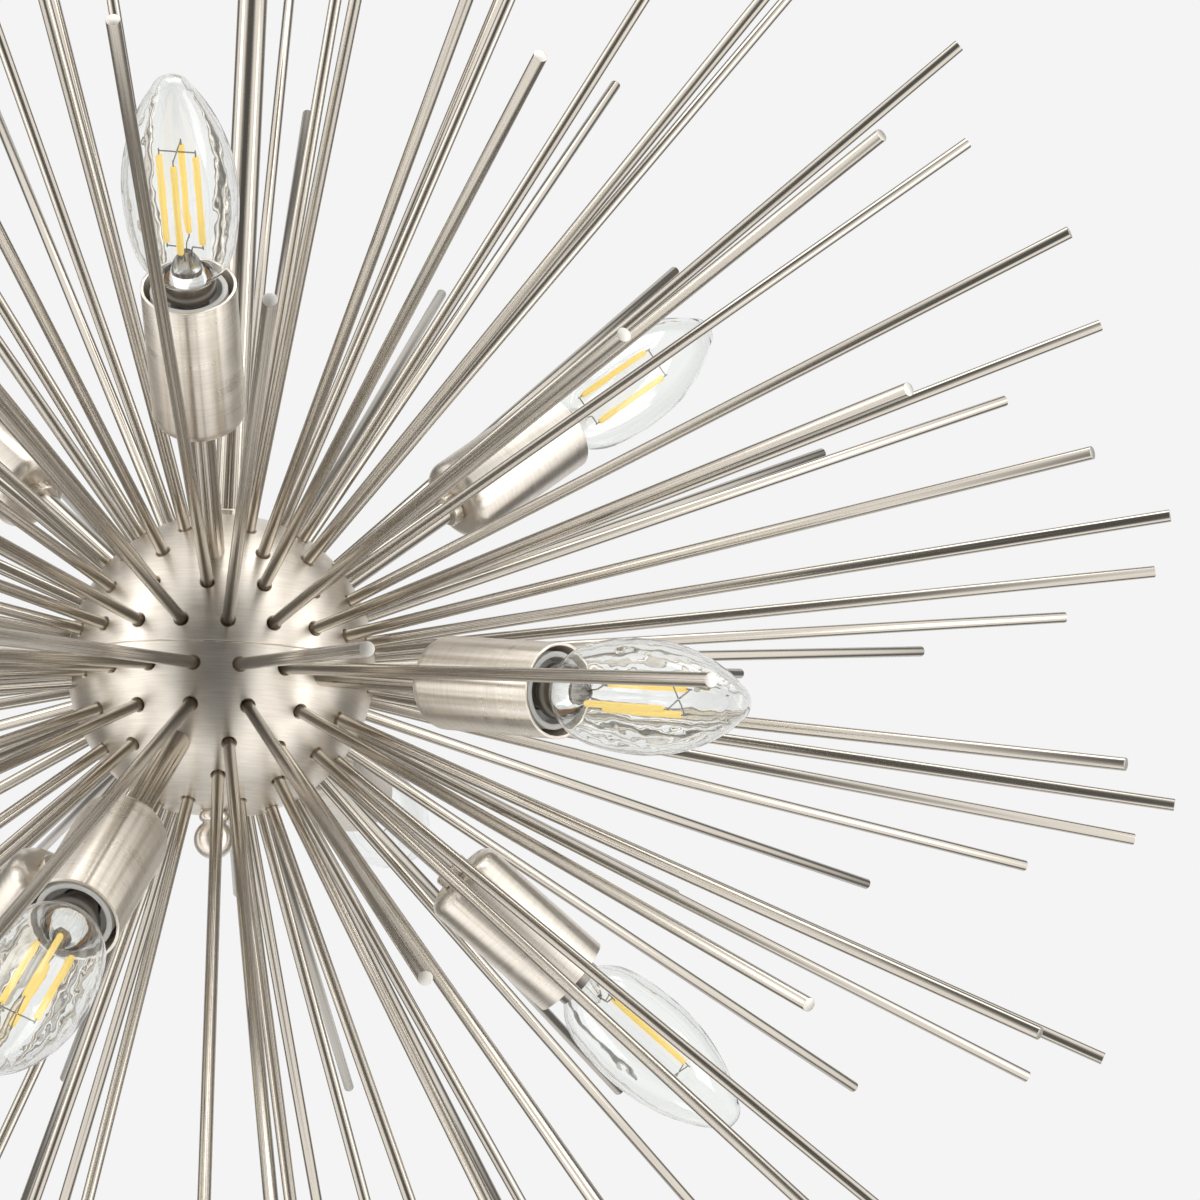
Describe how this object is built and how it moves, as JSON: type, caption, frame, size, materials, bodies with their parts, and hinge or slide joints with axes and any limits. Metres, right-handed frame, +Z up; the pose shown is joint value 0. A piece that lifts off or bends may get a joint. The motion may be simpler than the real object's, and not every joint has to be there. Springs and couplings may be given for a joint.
{
  "type": "sputnik chandelier",
  "caption": "Sputnik chandelier: candle lamps in metal cups and a burst of straight rods on a two-part ball hub, hung on a down rod from a swivel canopy.",
  "frame": {"origin": "midway between the two outlet-box slots of the mounting crossbar, on its upper face, which is the ceiling plane", "axes": "+Z up, away from the room; the slots lie along X; the front of the object, with its first upper arm, faces -Y"},
  "size_m": [0.6276, 0.6279, 0.7055],
  "materials": {
    "satin_nickel": "brushed satin nickel",
    "zinc_plate": "bright zinc plate",
    "lampholder_moulding": "moulded, matt",
    "lamp_cap_nickel": "nickel plate",
    "clear_glass": "clear"
  },
  "bodies": {
    "ceiling_plate": {"mounting_crossbar": "zinc_plate", "canopy_studs": "zinc_plate", "ceiling_canopy": "satin_nickel", "swivel_nipple": "zinc_plate", "swivel_nipple_nut": "zinc_plate"},
    "cap_nut_left": {"canopy_cap_nut_left": "satin_nickel"},
    "cap_nut_right": {"canopy_cap_nut_right": "satin_nickel"},
    "yoke": {"swivel_yoke": "satin_nickel", "swivel_pivot_screws": "satin_nickel"},
    "finial": {"finial_ball": "satin_nickel"},
    "lamp_upper_1": {"lamp_cap_upper_1": "lamp_cap_nickel", "lamp_glass_upper_1": "clear_glass"},
    "lamp_upper_2": {"lamp_cap_upper_2": "lamp_cap_nickel", "lamp_glass_upper_2": "clear_glass"},
    "lamp_upper_3": {"lamp_cap_upper_3": "lamp_cap_nickel", "lamp_glass_upper_3": "clear_glass"},
    "lamp_middle_1": {"lamp_cap_middle_1": "lamp_cap_nickel", "lamp_glass_middle_1": "clear_glass"},
    "lamp_middle_2": {"lamp_cap_middle_2": "lamp_cap_nickel", "lamp_glass_middle_2": "clear_glass"},
    "lamp_middle_3": {"lamp_cap_middle_3": "lamp_cap_nickel", "lamp_glass_middle_3": "clear_glass"},
    "lamp_lower_1": {"lamp_cap_lower_1": "lamp_cap_nickel", "lamp_glass_lower_1": "clear_glass"},
    "lamp_lower_2": {"lamp_cap_lower_2": "lamp_cap_nickel", "lamp_glass_lower_2": "clear_glass"},
    "lamp_lower_3": {"lamp_cap_lower_3": "lamp_cap_nickel", "lamp_glass_lower_3": "clear_glass"},
    "burst": {"swivel_barrel": "satin_nickel", "stem": "satin_nickel", "stem_collar": "satin_nickel", "hub_tie_rod": "zinc_plate", "finial_bead": "satin_nickel", "hub_upper_shell": "satin_nickel", "hub_lower_shell": "satin_nickel", "rod_lock_nuts_upper": "zinc_plate", "rod_lock_nuts_lower": "zinc_plate", "arm_lock_nuts_upper": "zinc_plate", "arm_lock_nuts_lower": "zinc_plate", "upper_rods_ring_1": "satin_nickel", "upper_rods_ring_2": "satin_nickel", "upper_rods_ring_3": "satin_nickel", "upper_rods_ring_4": "satin_nickel", "upper_rods_ring_5": "satin_nickel", "lower_rods_ring_1": "satin_nickel", "lower_rods_ring_2": "satin_nickel", "lower_rods_ring_3": "satin_nickel", "lower_rods_ring_4": "satin_nickel", "lower_rods_ring_5": "satin_nickel", "arm_tubes_upper": "satin_nickel", "lamp_cups_upper": "satin_nickel", "lampholders_upper": "lampholder_moulding", "arm_collars_upper": "satin_nickel", "arm_tubes_middle": "satin_nickel", "lamp_cups_middle": "satin_nickel", "lampholders_middle": "lampholder_moulding", "arm_tubes_lower": "satin_nickel", "lamp_cups_lower": "satin_nickel", "lampholders_lower": "lampholder_moulding", "arm_collars_lower": "satin_nickel"}
  },
  "joints": [
    {"name": "swivel_turn", "type": "hinge", "parent": "ceiling_plate", "child": "yoke", "pos_m": [0, 0, -0.04545], "axis": [0, 0, 1], "range_deg": [-175, 175]},
    {"name": "swivel_tilt", "type": "hinge", "parent": "yoke", "child": "burst", "pos_m": [0, 0, -0.04545], "axis": [0, 1, 0], "range_deg": [-20, 20]},
    {"name": "cap_nut_left_turn", "type": "hinge", "parent": "ceiling_plate", "child": "cap_nut_left", "pos_m": [-0.025, 0, -0.03], "axis": [0, 0, 1], "continuous": true},
    {"name": "cap_nut_right_turn", "type": "hinge", "parent": "ceiling_plate", "child": "cap_nut_right", "pos_m": [0.025, 0, -0.03], "axis": [0, 0, 1], "continuous": true},
    {"name": "finial_turn", "type": "hinge", "parent": "burst", "child": "finial", "pos_m": [0, 0, -0.46587], "axis": [0, 0, 1], "continuous": true},
    {"name": "lamp_upper_1_turn", "type": "hinge", "parent": "burst", "child": "lamp_upper_1", "pos_m": [0, -0.14972, -0.2939], "axis": [0, -0.788, 0.6157], "continuous": true},
    {"name": "lamp_upper_2_turn", "type": "hinge", "parent": "burst", "child": "lamp_upper_2", "pos_m": [0.12966, 0.07486, -0.2939], "axis": [0.6824, 0.394, 0.6157], "continuous": true},
    {"name": "lamp_upper_3_turn", "type": "hinge", "parent": "burst", "child": "lamp_upper_3", "pos_m": [-0.12966, 0.07486, -0.2939], "axis": [-0.6824, 0.394, 0.6157], "continuous": true},
    {"name": "lamp_middle_1_turn", "type": "hinge", "parent": "burst", "child": "lamp_middle_1", "pos_m": [0.13982, -0.1259, -0.43732], "axis": [0.7359, -0.6626, -0.1392], "continuous": true},
    {"name": "lamp_middle_2_turn", "type": "hinge", "parent": "burst", "child": "lamp_middle_2", "pos_m": [-0.17894, -0.05814, -0.43732], "axis": [-0.9418, -0.306, -0.1392], "continuous": true},
    {"name": "lamp_middle_3_turn", "type": "hinge", "parent": "burst", "child": "lamp_middle_3", "pos_m": [0.03912, 0.18404, -0.43732], "axis": [0.2059, 0.9686, -0.1392], "continuous": true},
    {"name": "lamp_lower_1_turn", "type": "hinge", "parent": "burst", "child": "lamp_lower_1", "pos_m": [0.14239, 0.04627, -0.52785], "axis": [0.7494, 0.2435, -0.6157], "continuous": true},
    {"name": "lamp_lower_2_turn", "type": "hinge", "parent": "burst", "child": "lamp_lower_2", "pos_m": [-0.03113, -0.14645, -0.52785], "axis": [-0.1638, -0.7708, -0.6157], "continuous": true},
    {"name": "lamp_lower_3_turn", "type": "hinge", "parent": "burst", "child": "lamp_lower_3", "pos_m": [-0.11127, 0.10018, -0.52785], "axis": [-0.5856, 0.5273, -0.6157], "continuous": true}
  ]
}
